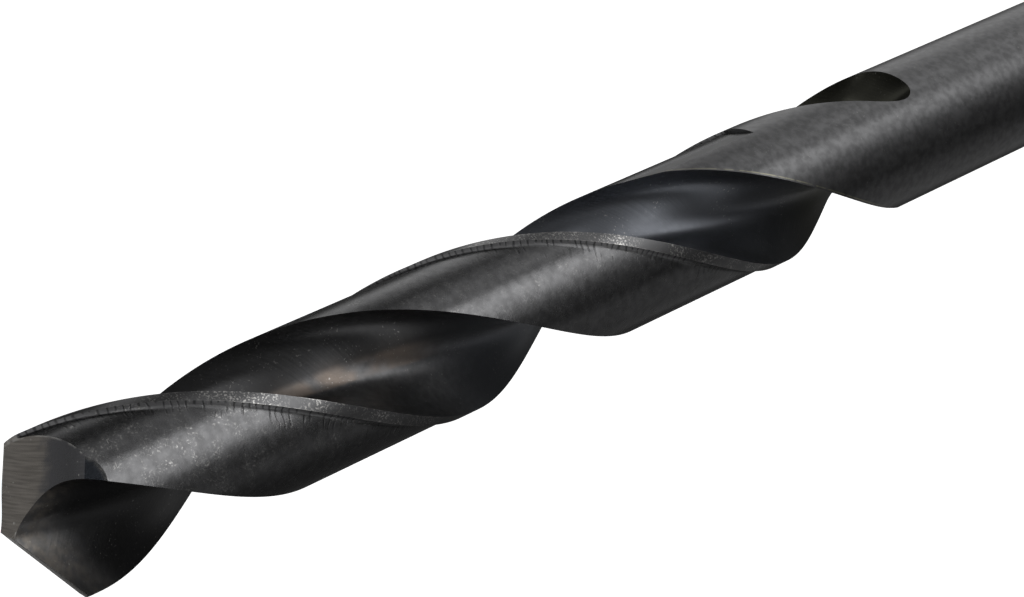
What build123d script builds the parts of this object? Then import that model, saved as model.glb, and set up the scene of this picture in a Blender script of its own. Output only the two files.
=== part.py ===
from build123d import *

import os
from math import asin, atan, ceil, cos, degrees, hypot, radians, sin, sqrt, tan

# Twist drill bit with a plain straight shank, for a three-jaw chuck, ground from one bar.
# Millimetres and degrees. The bit stands on its shank: the origin is the centre of the
# flat shank end, +Z runs along the axis to the point, and the outer corner of lip 1 is on +X.
# The helix is right-handed. Seen from the point, a flute lies anticlockwise of its margin's
# edge and the land lies clockwise of it. Bearings count anticlockwise from that edge.

# Bar and lengths
diameter = 13.0  # over the two margins, at the lips
shank_diameter = 12.9  # the margins taper back to this at the end of the flutes
overall_length = 151.0  # shank end to chisel edge
flute_length = 99.0  # chisel edge to the far end of the run-outs
shank_chamfer = 0.8

# Flutes and lands
helix_lead = 76.2  # advance in one full turn
land_angle = 81.0  # margin edge to heel, round the axis, at the point
land_growth = 0.236  # how much wider the land gets, for each mm towards the shank
web_thickness = 1.76  # core between the flutes, at the point
web_taper = 0.0165  # how much thicker the core gets, for each mm towards the shank
heel_undercut = 0.59  # how far the flute curls in behind the heel
undercut_radius = 4.5  # where that curl is deepest, from the axis
wall_foot = 1.22  # height above the core at which the flute's wall turns out to the heel
core_bearing = 0.46  # where the flute touches the core, as a share of its opening
rake_shares = (1.08, 1, 0.79, 0.485)  # points of its front wall, as shares of the radius
runout_radius = 5.1  # of the scoop that ends each flute
runout_bearing = 30.0  # side to which the cutter lifts out there
runout_step = 15  # turn of that scoop's arc between two sections

# Relief on the outside of the lands
margin_angle = 9.5  # width of the full-size strip, round the axis
body_clearance = 0.36  # depth of the relieved land below the margin
clearance_bevel = 8.0  # width of the slope from the margin down to it, round the axis
clearance_length = 80.3  # chisel edge to the shoulder where the relief ends
shoulder_angle = 24.0  # how far round from the margin edge the shoulder keeps its height
fade_length = 16.0  # over which a flat parts the relief from the full land

# Point
point_angle = 120.0
lip_relief = 13.0  # slope of the flank just behind the lip
flank_radius = 7.5  # of the flank's curve away from the lip
heel_facet_setback = 6.35  # from the lip to the steeper facet at the heel
heel_facet_angle = 70.0  # slope of that facet

# Cutters
station_twist = 45.0  # turn of the helix between two sections
cutter_reach = 0.7  # how far they stand out of the bar
heel_overrun = 12.0  # how far round the relief cutter runs past the heel
edge_overrun = 0.5  # how far it goes on past the margin, as a share of that slope's length

radius = diameter / 2
shank_radius = shank_diameter / 2
cutter_radius = radius + cutter_reach
lip_fall = 1 / tan(radians(point_angle / 2))  # for each mm outwards along the lip


def lip_length(web):
    """Length of a straight lip, from beside the axis to the margin."""
    return sqrt(radius**2 - (web / 2) ** 2)


def flank_fall(setback):
    """Fall of the flank at a distance behind the lip."""
    return setback * tan(radians(lip_relief)) + setback**2 / (2 * flank_radius)


lip_rise = lip_length(web_thickness) * lip_fall
corner_level = overall_length - lip_rise + flank_fall(web_thickness / 2)
runout_end = overall_length - flute_length
runout_start = runout_end + runout_radius
shoulder_level = overall_length - clearance_length
cutter_top = overall_length + cutter_reach


def body_radius(level):
    """Radius over the margins, which shrinks evenly from the lips to the shank."""
    share = (corner_level - level) / (corner_level - runout_end)
    return radius - (radius - shank_radius) * max(0, share)


def relieved_radius(level):
    """Radius of the relieved land behind a margin."""
    return body_radius(level) - body_clearance


def edge_bearing(level):
    """Direction of margin 1's edge at a height above the shank end, from +X."""
    return 360 * (level - corner_level) / helix_lead


def polar(distance, bearing, level):
    """Point at a distance from the axis and a bearing from margin 1's edge."""
    turn = radians(edge_bearing(level) + bearing)
    return Vector(distance * cos(turn), distance * sin(turn), level)


def land_width(level):
    """Angle from a margin's edge back to its heel."""
    return land_angle + land_growth * (corner_level - level)


def stations(low):
    """Heights of a cutter's sections, from above the point down to a level."""
    turn = edge_bearing(cutter_top) - edge_bearing(low)
    count = ceil(turn / station_twist)
    return [cutter_top - (cutter_top - low) * k / count for k in range(count + 1)]


def rake_point(reach, web, level):
    """Point of the flute's front wall, whose twist makes the lip straight on the cone."""
    twist = 360 / helix_lead * (lip_length(web) - reach) * lip_fall
    trail = degrees(asin(web / diameter) - atan(web / 2 / reach)) + twist
    return polar(hypot(reach, web / 2), -trail, level)


def flute_wall(level, lift):
    """Points of one flute's section, from outside the margin round to outside the heel."""
    web = web_thickness + web_taper * (corner_level - level)
    opening = 180 - land_width(level)
    centre = Vector(0, 0, level)
    outward = polar(1, opening, level) - centre
    backward = outward.rotate(Axis.Z, 90)
    points = [rake_point(radius * share, web, level) for share in rake_shares]
    points.append(polar(web / 2, opening * core_bearing, level))
    points.append(centre + outward * (web / 2 + wall_foot))
    points.append(centre + outward * undercut_radius + backward * heel_undercut)
    points.append(centre + outward * relieved_radius(level))
    points.append(centre + outward * cutter_radius - backward * heel_undercut)
    rise = polar(lift, runout_bearing, level) - centre
    return [point + rise for point in points]


def flute_section(level, lift, spacing):
    """Closed outline of one flute's cutter, raised out of the bar by lift."""
    wall = flute_wall(level, lift)
    back = polar(cutter_radius + lift + 2 * cutter_reach, 90 - land_width(level) / 2, level)
    inside = Edge.make_spline(wall, parameters=spacing)
    return Wire([inside, *Polyline(wall[-1], back, wall[0]).edges()])


def flute_cutter():
    """Twisted cutter of flute 1, which lifts out of the bar along an arc at its end."""
    wall = flute_wall(corner_level, 0)
    steps = [0] + [(there - here).length for here, there in zip(wall, wall[1:])]
    spacing = [sum(steps[: k + 1]) / sum(steps) for k in range(len(steps))]
    sections = [flute_section(level, 0, spacing) for level in stations(runout_start)]
    for turn in range(runout_step, 91, runout_step):
        level = runout_start - runout_radius * sin(radians(turn))
        lift = runout_radius * (1 - cos(radians(turn)))
        sections.append(flute_section(level, lift, spacing))
    return Solid.make_loft(sections)


def relief_section(level):
    """Outline of the cutter that relieves land 1 from its margin to past its heel."""
    far = -land_width(level) - heel_overrun
    foot = polar(relieved_radius(level), -margin_angle - clearance_bevel, level)
    rim = polar(body_radius(level), -margin_angle, level)
    return Wire.make_polygon(
        [
            foot,
            rim + (rim - foot) * edge_overrun,
            polar(2 * cutter_radius, 0, level),
            polar(2 * cutter_radius, far, level),
            polar(radius / 2, far, level),
        ]
    )


def relief_cutter():
    """Cutter of land 1's relief, which a flat narrows to a shoulder at its shank end."""
    levels = stations(shoulder_level)
    band = Solid.make_loft([relief_section(level) for level in levels])
    height = levels[0] - levels[-1]
    middle = Pos(0, 0, (levels[0] + levels[-1]) / 2)
    land = Cone(relieved_radius(levels[-1]), relieved_radius(levels[0]), height)
    width = 6 * cutter_radius
    flat = relieved_radius(runout_end)
    centre = Pos(flat - width / 2, -width / 2, shoulder_level + fade_length / 2)
    stop = centre * Box(width, width, fade_length)
    return band - middle * land - Rot(0, 0, edge_bearing(shoulder_level) - shoulder_angle) * stop


def flank_cutter():
    """All that lies above flank 1: its section behind the lip, drawn out along the lip."""
    reach = 1.5 * diameter
    facet_end = heel_facet_setback + reach
    facet_fall = flank_fall(heel_facet_setback)

    def at(setback, fall):
        return Vector(0, web_thickness / 2 - setback, corner_level + lip_rise - fall)

    corners = [
        at(heel_facet_setback, facet_fall),
        at(facet_end, facet_fall + reach * tan(radians(heel_facet_angle))),
        at(facet_end, -2 * reach),
        at(-reach, -2 * reach),
        at(-reach, -reach * tan(radians(lip_relief))),
        at(0, 0),
    ]
    crown = at(heel_facet_setback / 2, heel_facet_setback / 2 * tan(radians(lip_relief)))
    curve = Edge.make_bezier(corners[-1], crown, corners[0])
    outline = Wire([*Polyline(*corners).edges(), curve])
    lip_way = Vector(1, 0, -lip_fall).normalized()
    tool = extrude(Face(outline), amount=reach, dir=lip_way, both=True)
    return Rot(0, 0, -degrees(asin(web_thickness / diameter))) * tool


def blank():
    """The turned bar, with its shank end chamfered and its body tapered back from the lips."""
    shank = Pos(0, 0, runout_end / 2) * Cylinder(shank_radius, runout_end)
    shank = chamfer(shank.edges().sort_by(Axis.Z)[0], shank_chamfer)
    body_length = corner_level - runout_end
    body = Pos(0, 0, runout_end + body_length / 2) * Cone(shank_radius, radius, body_length)
    nose = Pos(0, 0, overall_length - lip_rise / 2) * Cylinder(radius, lip_rise)
    return shank + body + nose


drill_bit = blank()
for cutter in (flute_cutter(), relief_cutter(), flank_cutter()):
    for side in (0, 180):
        drill_bit -= Rot(0, 0, side) * cutter

os.makedirs("parts", exist_ok=True)
export_step(drill_bit.solid(), "parts/drill_bit.step")
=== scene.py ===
"""Looks of a twist drill bit: its fluted, relieved and ground body, steel finishes, light and camera."""

import logging
import math
from dataclasses import dataclass
from enum import Enum

import bmesh
import bpy
import numpy as np
from mathutils import Matrix, Vector


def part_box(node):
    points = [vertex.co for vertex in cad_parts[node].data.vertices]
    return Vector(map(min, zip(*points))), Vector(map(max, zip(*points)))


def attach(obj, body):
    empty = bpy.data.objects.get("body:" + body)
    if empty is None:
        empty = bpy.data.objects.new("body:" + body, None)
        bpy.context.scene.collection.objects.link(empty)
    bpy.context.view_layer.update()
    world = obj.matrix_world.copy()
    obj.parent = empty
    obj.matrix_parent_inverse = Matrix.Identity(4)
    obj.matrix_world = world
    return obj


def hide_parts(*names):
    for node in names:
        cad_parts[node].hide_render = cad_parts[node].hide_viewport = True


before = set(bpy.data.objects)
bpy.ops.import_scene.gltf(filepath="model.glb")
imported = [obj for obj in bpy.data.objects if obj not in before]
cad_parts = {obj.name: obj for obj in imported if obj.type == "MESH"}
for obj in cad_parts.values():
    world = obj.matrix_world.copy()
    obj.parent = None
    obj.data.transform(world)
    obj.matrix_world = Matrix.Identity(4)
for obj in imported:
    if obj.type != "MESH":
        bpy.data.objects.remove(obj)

LOG = logging.getLogger("drill_bit")
MM = 0.001
NODE = "drill_bit"
BODY = "root"


def add_object(name: str, data: bpy.types.ID) -> bpy.types.Object:
    """Adds an object to the scene.

    Args:
        name: Object's name.
        data: Its mesh, camera or lamp.

    Returns:
        The object, at the origin.
    """
    added = bpy.data.objects.new(name, data)
    bpy.context.scene.collection.objects.link(added)
    return added


# Node trees


class Value:
    """A node socket that adds a Math node when an expression uses it."""

    def __init__(self, maker: "NodeMaker", socket: bpy.types.NodeSocket) -> None:
        """Wraps one output socket.

        Args:
            maker: Adds the Math nodes.
            socket: Output that this value stands for.
        """
        self.maker = maker
        self.socket = socket

    @classmethod
    def number(cls, maker: "NodeMaker", number: float) -> "Value":
        """A plain number as a value."""
        return maker.value("ShaderNodeMath", {"operation": "ADD"}, {0: number, 1: 0.0})

    def math(self, operation: str, *others: "Value | float") -> "Value":
        """Result of a Math node on this value.

        Args:
            operation: Math node's operation.
            others: Its further inputs.

        Returns:
            The node's output.
        """
        inputs = dict(enumerate((self, *others)))
        return self.maker.value("ShaderNodeMath", {"operation": operation}, inputs)

    def __add__(self, other: "Value | float") -> "Value":
        """Sum."""
        return self.math("ADD", other)

    def __sub__(self, other: "Value | float") -> "Value":
        """Difference."""
        return self.math("SUBTRACT", other)

    def __rsub__(self, other: float) -> "Value":
        """Difference from a number."""
        return self.math("MULTIPLY", -1) + other

    def __mul__(self, other: "Value | float") -> "Value":
        """Product."""
        return self.math("MULTIPLY", other)

    def __truediv__(self, other: "Value | float") -> "Value":
        """Quotient."""
        return self.math("DIVIDE", other)

    def __mod__(self, other: float) -> "Value":
        """Remainder, from 0 up to the divisor."""
        return self.math("FLOORED_MODULO", other)

    def __pow__(self, other: float) -> "Value":
        """Power."""
        return self.math("POWER", other)

    __radd__ = __add__
    __rmul__ = __mul__

    def smooth(self, low: float, high: float) -> "Value":
        """Rises smoothly from 0 to 1 as this value goes from one number to another.

        Args:
            low: Where the result is 0; it may be the larger of the two.
            high: Where the result is 1.

        Returns:
            The eased value.
        """
        settings = {"interpolation_type": "SMOOTHSTEP"}
        if low < high:
            inputs = {"Value": self, "From Min": low, "From Max": high}
        else:
            inputs = {"Value": self, "From Min": high, "From Max": low, "To Min": 1.0, "To Max": 0.0}
        return self.maker.value("ShaderNodeMapRange", settings, inputs)

    def within(self, low: float, high: float, ease: float) -> "Value":
        """1 between two numbers and 0 outside them.

        Args:
            low: Lower end.
            high: Upper end.
            ease: How far the change reaches.

        Returns:
            The band.
        """
        return self.smooth(low - ease, low) * self.smooth(high + ease, high)

    def clamp(self) -> "Value":
        """This value held between 0 and 1."""
        return self.maker.value("ShaderNodeClamp", {}, {"Value": self})


class NodeMaker:
    """Adds nodes to one tree."""

    def __init__(self, tree: bpy.types.NodeTree) -> None:
        """Works on a tree.

        Args:
            tree: Shader or geometry tree.
        """
        self.tree = tree

    def node(
        self, kind: str, settings: dict | None = None, inputs: dict | None = None
    ) -> bpy.types.Node:
        """Adds any node.

        Args:
            kind: Node's type.
            settings: Its properties.
            inputs: Numbers, colours or links for its sockets, by name or place; a list makes several links.

        Returns:
            The node.
        """
        node = self.tree.nodes.new(kind)
        for name, setting in (settings or {}).items():
            setattr(node, name, setting)
        for key, given in (inputs or {}).items():
            for one in given if isinstance(given, list) else [given]:
                source = one.socket if isinstance(one, Value) else one
                if isinstance(source, bpy.types.NodeSocket):
                    self.tree.links.new(source, node.inputs[key])
                else:
                    node.inputs[key].default_value = source
        return node

    def value(
        self,
        kind: str,
        settings: dict | None = None,
        inputs: dict | None = None,
        output: str | int = 0,
    ) -> Value:
        """Adds a node and wraps one of its outputs.

        Args:
            kind: Node's type.
            settings: As in node.
            inputs: As in node.
            output: Name or place of the output.

        Returns:
            The wrapped output.
        """
        return Value(self, self.node(kind, settings, inputs).outputs[output])

    def mix(self, first: object, second: object, factor: Value) -> bpy.types.NodeSocket:
        """Mixes two colours.

        Args:
            first: Colour at 0, as three numbers or a socket.
            second: Colour at 1, likewise.
            factor: Share of the second.

        Returns:
            The mixed colour's socket.
        """
        inputs = {0: factor}
        for place, colour in ((6, first), (7, second)):
            inputs[place] = (*colour, 1.0) if isinstance(colour, tuple) else colour
        return self.node("ShaderNodeMix", {"data_type": "RGBA"}, inputs).outputs[2]


# Sizes


@dataclass(frozen=True)
class DrillSizes:
    """Sizes of the bit in millimetres and degrees, with heights from the flat shank end.

    Bearings are angles round the axis from margin 1's edge, anticlockwise seen from the point. Lengths
    of the fluted body are measured down from its tip.
    """

    diameter: float
    overall_length: float
    shank_diameter: float = 12.9
    shank_chamfer: float = 0.8
    flute_length: float = 99.0
    helix_lead: float = 76.2
    land_angle: float = 81.0
    land_growth: float = 0.236  # degrees for each millimetre below the lips
    web_thickness: float = 1.76
    web_taper: float = 0.0165  # millimetres for each millimetre below the lips
    core_bearing: float = 0.46  # where the flute touches the core, as a share of its opening
    heel_undercut: float = 0.59  # how far the flute curls in under the heel
    undercut_radius: float = 4.5  # distance from the axis at which it does so
    wall_foot: float = 1.22  # distance from the core to the foot of the heel's wall
    runout_radius: float = 5.1
    runout_bearing: float = 30.0  # way in which the flute leaves the bar
    margin_angle: float = 9.5
    body_clearance: float = 0.36  # depth of the land's relief
    clearance_bevel: float = 8.0  # angle in which the relief rises to the margin
    clearance_length: float = 80.3  # down to the shoulder where the relief ends
    shoulder_angle: float = 24.0  # turn of the flat that narrows the relief to its shoulder
    fade_length: float = 16.0  # height over which that flat cuts
    point_angle: float = 120.0
    lip_relief: float = 13.0
    flank_radius: float = 7.5  # curve of the flank behind the lip
    heel_facet_setback: float = 6.35
    heel_facet_angle: float = 70.0
    corner_wear: float = 0.75  # height of the worn corner at the end of a lip

    @property
    def radius(self) -> float:
        """Radius over the margins at the lips."""
        return self.diameter / 2

    @property
    def shank_radius(self) -> float:
        """Radius of the plain shank."""
        return self.shank_diameter / 2

    @property
    def lip_fall(self) -> float:
        """Fall of a lip for each millimetre outwards."""
        return 1 / math.tan(math.radians(self.point_angle / 2))

    @property
    def lip_turn(self) -> float:
        """Angle by which a lip runs beside the line from the axis to its corner, in degrees."""
        return math.degrees(math.asin(self.web_thickness / self.diameter))

    @property
    def lip_rise(self) -> float:
        """Height of a lip, from its corner to beside the axis."""
        return self.lip_length(self.web_thickness) * self.lip_fall

    @property
    def corner_level(self) -> float:
        """Height of the outer corners of the lips."""
        return self.overall_length - self.lip_rise + self.flank_fall(self.web_thickness / 2)

    @property
    def runout_end(self) -> float:
        """Height at which the flutes have left the bar."""
        return self.overall_length - self.flute_length

    @property
    def runout_start(self) -> float:
        """Height at which the flutes begin to leave the bar."""
        return self.runout_end + self.runout_radius

    @property
    def shoulder_level(self) -> float:
        """Height of the shoulder where the lands' relief ends."""
        return self.overall_length - self.clearance_length

    def lip_length(self, web: float) -> float:
        """Length of a straight lip beside a core of the given thickness."""
        return math.sqrt(self.radius**2 - (web / 2) ** 2)

    def flank_fall(self, setback: float) -> float:
        """Fall of the flank at a distance behind the lip."""
        return setback * math.tan(math.radians(self.lip_relief)) + setback**2 / (2 * self.flank_radius)

    def web(self, level: float) -> float:
        """Thickness of the core at a height."""
        return self.web_thickness + self.web_taper * (self.corner_level - level)

    def land_width(self, level: float) -> float:
        """Angle from a margin's edge back to its heel at a height."""
        return self.land_angle + self.land_growth * (self.corner_level - level)

    def body_radius(self, level: float) -> float:
        """Radius over the margins at a height."""
        share = (self.corner_level - level) / (self.corner_level - self.runout_end)
        return self.radius - (self.radius - self.shank_radius) * max(0.0, share)

    def relieved_radius(self, level: float) -> float:
        """Radius of the land behind its margin at a height."""
        return self.body_radius(level) - self.body_clearance


def spline_through(points: np.ndarray, count: int) -> np.ndarray:
    """Smooth curve through points: the natural cubic spline over their chord lengths.

    Args:
        points: One point in each row.
        count: How many points to give back.

    Returns:
        Evenly spread points of the curve.
    """
    steps = np.linalg.norm(np.diff(points, axis=0), axis=1)
    knots = np.concatenate([[0.0], np.cumsum(steps)])
    size = len(points)
    system = np.eye(size)
    target = np.zeros_like(points)
    for k in range(1, size - 1):
        before, after = steps[k - 1], steps[k]
        system[k, k - 1 : k + 2] = before / 6, (before + after) / 3, after / 6
        target[k] = (points[k + 1] - points[k]) / after - (points[k] - points[k - 1]) / before
    bends = np.linalg.solve(system, target)
    places = np.linspace(0.0, knots[-1], count)
    spans = np.clip(np.searchsorted(knots, places) - 1, 0, size - 2)
    step = steps[spans][:, None]
    right = (places - knots[spans])[:, None]
    left = step - right
    curve = (bends[spans] * left**3 + bends[spans + 1] * right**3) / (6 * step)
    curve += (points[spans] / step - bends[spans] * step / 6) * left
    curve += (points[spans + 1] / step - bends[spans + 1] * step / 6) * right
    return curve


class CutterSection:
    """Closed outline of a twisted cutter, as distance from the axis and bearing at any height."""

    REACH = 1.4

    def __init__(self, sizes: DrillSizes) -> None:
        """Works out outlines.

        Args:
            sizes: Sizes of the bit.
        """
        self.sizes = sizes

    def outline(self, level: float) -> np.ndarray:
        """Distances from the axis and bearings in radians, in order round the outline, at a height."""
        raise NotImplementedError

    def ring(self, name: str) -> bpy.types.Object:
        """Outline as an object that the twisting tree reads.

        Args:
            name: Object's name.

        Returns:
            A ring of edges, with its outline at the tip and at the run-out as attributes.
        """
        tip = self.outline(self.sizes.corner_level)
        end = self.outline(self.sizes.runout_start)
        count = len(tip)
        mesh = bpy.data.meshes.new(name)
        flat = [(r * MM * math.cos(a), r * MM * math.sin(a), 0.0) for r, a in tip]
        mesh.from_pydata(flat, [(k, (k + 1) % count) for k in range(count)], [])
        for label, polar in (("tip_polar", tip), ("end_polar", end)):
            attribute = mesh.attributes.new(label, "FLOAT_VECTOR", "POINT")
            rows = np.column_stack([polar[:, 0] * MM, polar[:, 1], np.zeros(count)])
            attribute.data.foreach_set("vector", rows.astype(np.float32).ravel())
        return add_object(name, mesh)


class FluteSection(CutterSection):
    """Outline of one flute: front wall, core, the curl behind the heel, and back outside the bar."""

    WALL_POINTS = 60
    BACK_POINTS = 14
    RAKE_SHARES = (1.08, 1.0, 0.79, 0.485)

    def rake_point(self, reach: float, web: float) -> np.ndarray:
        """Point of the front wall whose twist makes the lip straight on the cone.

        Args:
            reach: Distance out along the lip.
            web: Thickness of the core there.

        Returns:
            The point across the axis.
        """
        sizes = self.sizes
        twist = 360 / sizes.helix_lead * (sizes.lip_length(web) - reach) * sizes.lip_fall
        trail = math.degrees(math.asin(web / sizes.diameter) - math.atan(web / 2 / reach)) + twist
        turn = math.radians(-trail)
        return math.hypot(reach, web / 2) * np.array([math.cos(turn), math.sin(turn)])

    def outline(self, level: float) -> np.ndarray:
        """Distances from the axis and bearings in radians, in order round the outline, at a height.

        Args:
            level: Height above the shank end.

        Returns:
            One row for each point.
        """
        sizes = self.sizes
        web = sizes.web(level)
        opening = math.radians(180 - sizes.land_width(level))
        outward = np.array([math.cos(opening), math.sin(opening)])
        backward = np.array([-math.sin(opening), math.cos(opening)])
        core = opening * sizes.core_bearing
        outside = sizes.radius * self.RAKE_SHARES[0]
        wall = [self.rake_point(sizes.radius * share, web) for share in self.RAKE_SHARES]
        wall.append(web / 2 * np.array([math.cos(core), math.sin(core)]))
        wall.append(outward * (web / 2 + sizes.wall_foot))
        wall.append(outward * sizes.undercut_radius + backward * sizes.heel_undercut)
        wall.append(outward * sizes.relieved_radius(level))
        wall.append(outward * outside - backward * sizes.heel_undercut)
        curve = spline_through(np.array(wall), self.WALL_POINTS)
        front = np.column_stack([np.hypot(*curve.T), np.arctan2(curve[:, 1], curve[:, 0])])
        bearings = np.linspace(front[-1, 1], front[0, 1], self.BACK_POINTS)
        back = np.column_stack([np.full(self.BACK_POINTS, sizes.radius * self.REACH), bearings])
        return np.vstack([front, back])


class ReliefSection(CutterSection):
    """Outline of the cutter that relieves a land, from its margin to past its heel."""

    ARC_STEP = 1.5
    BEVEL_POINTS = 9
    BEVEL_HOLLOW = 4.5
    HEEL_OVERRUN = 12.0
    EDGE_OVERRUN = 2.0
    BACK_THINNING = 4

    def outline(self, level: float) -> np.ndarray:
        """Distances from the axis and bearings in radians, in order round the outline, at a height.

        Args:
            level: Height above the shank end.

        Returns:
            One row for each point.
        """
        sizes = self.sizes
        far_angle = sizes.land_angle + sizes.land_growth * sizes.overall_length + self.HEEL_OVERRUN
        near = sizes.margin_angle + sizes.clearance_bevel
        far = sizes.land_width(level) + self.HEEL_OVERRUN
        count = round((far_angle - near) / self.ARC_STEP)
        floor = -np.radians(np.linspace(far, near, count))
        climb = np.linspace(0, 1, self.BEVEL_POINTS)[1:]
        depth = sizes.body_radius(level) - sizes.relieved_radius(level)
        slope = np.column_stack(
            [
                sizes.relieved_radius(level) + depth * climb**self.BEVEL_HOLLOW,
                -np.radians(near - sizes.clearance_bevel * climb),
            ]
        )
        clear = slope[-1] + (slope[-1] - slope[-2]) * self.EDGE_OVERRUN
        back = -np.radians(np.linspace(0, far, count // self.BACK_THINNING))
        return np.vstack(
            [
                np.column_stack([np.full(count, sizes.relieved_radius(level)), floor]),
                slope,
                clear,
                np.column_stack([np.full(len(back), sizes.radius * self.REACH), back]),
            ]
        )


# Finishes


Colour = tuple[float, float, float]
Span = tuple[float, float]
Band = tuple[float, float, float]

COARSE = 1.0
EVEN = 2.0
FINE = 3.0
FINEST = 5.0


class Finish(Enum):
    """The steel's finishes, by where they lie on the bit."""

    LAND = "oxidised_land"
    FLUTE = "oxidised_flute"
    RELIEF = "relieved_land"
    FLANK = "ground_flank"


@dataclass(frozen=True)
class Patches:
    """Noise eased into patches, which begin at one level of the noise and are whole at another.

    The size of its spots is in millimetres.
    """

    size: float
    start: float
    whole: float
    detail: float = EVEN


@dataclass(frozen=True)
class Sway:
    """Noise about 0, with the size of its spots in millimetres and its height from trough to crest."""

    size: float
    height: float
    detail: float = EVEN


def shaded(colour: Colour, share: float) -> Colour:
    """A colour times a share, darker below 1 and lighter above it."""
    return tuple(share * part for part in colour)


class Whereabouts:
    """Where a point lies on the bit, as values for a material, in millimetres and degrees.

    The angle behind the nearest margin's edge starts again at each edge, and the angle inside a flute
    does so in the middle of the lands.
    """

    SEAM = 40.0
    NOISE_MIDDLE = 0.5

    def __init__(self, maker: NodeMaker, sizes: DrillSizes) -> None:
        """Reads the point's place.

        Args:
            maker: Adds nodes to the material.
            sizes: Sizes of the bit.
        """
        self.maker = maker
        self.sizes = sizes
        metres = maker.node("ShaderNodeTexCoord").outputs["Object"]
        scale = {0: metres, "Scale": 1 / MM}
        self.point = maker.value("ShaderNodeVectorMath", {"operation": "SCALE"}, scale)
        parts = maker.node("ShaderNodeSeparateXYZ", {}, {0: self.point})
        self.x, self.y, self.level = (Value(maker, output) for output in parts.outputs)
        self.radius = (self.x * self.x + self.y * self.y) ** 0.5
        bearing = self.y.math("ARCTAN2", self.x) * math.degrees(1)
        self.below = self.level * -1 + sizes.corner_level
        trail = self.below * (-360 / sizes.helix_lead) - bearing
        self.behind = trail % 180
        self.inside = (trail - self.SEAM) % 180 + self.SEAM
        self.heel = self.below * sizes.land_growth + sizes.land_angle

    def noise(self, size: float, detail: float = EVEN) -> Value:
        """Noise about 0.5, with the size of its spots in millimetres."""
        inputs = {"Vector": self.point, "Scale": 1 / size, "Detail": detail}
        return self.maker.value("ShaderNodeTexNoise", {}, inputs)

    def patches(self, kind: Patches) -> Value:
        """Patches of noise, 1 inside them and 0 between them."""
        return self.noise(kind.size, kind.detail).smooth(kind.start, kind.whole)

    def sway(self, kind: Sway) -> Value:
        """Noise about 0."""
        return (self.noise(kind.size, kind.detail) - self.NOISE_MIDDLE) * kind.height

    def streaks(self, along: Value, across: Value, width: float, length: float, detail: float) -> Value:
        """Noise drawn out along a direction.

        Args:
            along: Coordinate along the streaks.
            across: Coordinate across them.
            width: Width of a streak.
            length: Its length.
            detail: Finer layers.

        Returns:
            The noise, about 0.5.
        """
        place = self.maker.value("ShaderNodeCombineXYZ", {}, {0: along / length, 1: across / width})
        return self.maker.value("ShaderNodeTexNoise", {}, {"Vector": place, "Scale": 1.0, "Detail": detail})


@dataclass(frozen=True)
class SteelFinish:
    """Dark oxidised steel: uneven in tone and gloss, with bright flecks where it is worn."""

    name: str
    colour: Colour = (0.1, 0.1, 0.102)
    mottle: float = 0.16
    clouds: Patches = Patches(0.7, 0.3, 0.7, FINEST)
    worn: Colour = (0.5, 0.49, 0.47)
    flecks: Patches = Patches(0.2, 0.62, 0.78)
    clusters: Patches = Patches(2.4, 0.42, 0.68)
    fleck_share: float = 0.5
    roughness: float = 0.26
    smears: Sway = Sway(0.5, 0.12, FINE)
    polish: float = 0.05
    grain: float = 0.0016
    grain_size: float = 0.16
    wave: float = 0.003
    wave_size: float = 0.9

    def material(self, sizes: DrillSizes) -> bpy.types.Material:
        """Builds the material.

        Args:
            sizes: Sizes of the bit.

        Returns:
            The material.
        """
        material = bpy.data.materials.new(self.name)
        material.use_nodes = True
        maker = NodeMaker(material.node_tree)
        spot = Whereabouts(maker, sizes)
        shader = material.node_tree.nodes["Principled BSDF"]
        wear = self.wear(spot)
        colour = maker.mix(self.tone(spot), self.worn, wear)
        shader.inputs["Metallic"].default_value = 1.0
        links = material.node_tree.links
        links.new(colour, shader.inputs["Base Color"])
        links.new(self.gloss(spot, wear).socket, shader.inputs["Roughness"])
        bump = maker.node("ShaderNodeBump", {}, {"Distance": MM, "Height": self.height(spot)})
        links.new(bump.outputs["Normal"], shader.inputs["Normal"])
        return material

    def tone(self, spot: Whereabouts) -> bpy.types.NodeSocket:
        """Colour of the oxidised skin, in light and dark clouds."""
        darker, lighter = (shaded(self.colour, share) for share in (1 - self.mottle, 1 + self.mottle))
        return spot.maker.mix(darker, lighter, spot.patches(self.clouds))

    def wear(self, spot: Whereabouts) -> Value:
        """Share of bright steel that shows through the skin: flecks in clusters."""
        return spot.patches(self.flecks) * spot.patches(self.clusters) * self.fleck_share

    def gloss(self, spot: Whereabouts, wear: Value) -> Value:
        """Roughness, less where bright steel shows."""
        return spot.sway(self.smears) + self.roughness - wear * self.polish

    def height(self, spot: Whereabouts) -> Value:
        """Height of the fine relief, in millimetres: a grain on a gentle wave."""
        return spot.noise(self.grain_size) * self.grain + spot.noise(self.wave_size, COARSE) * self.wave


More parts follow.
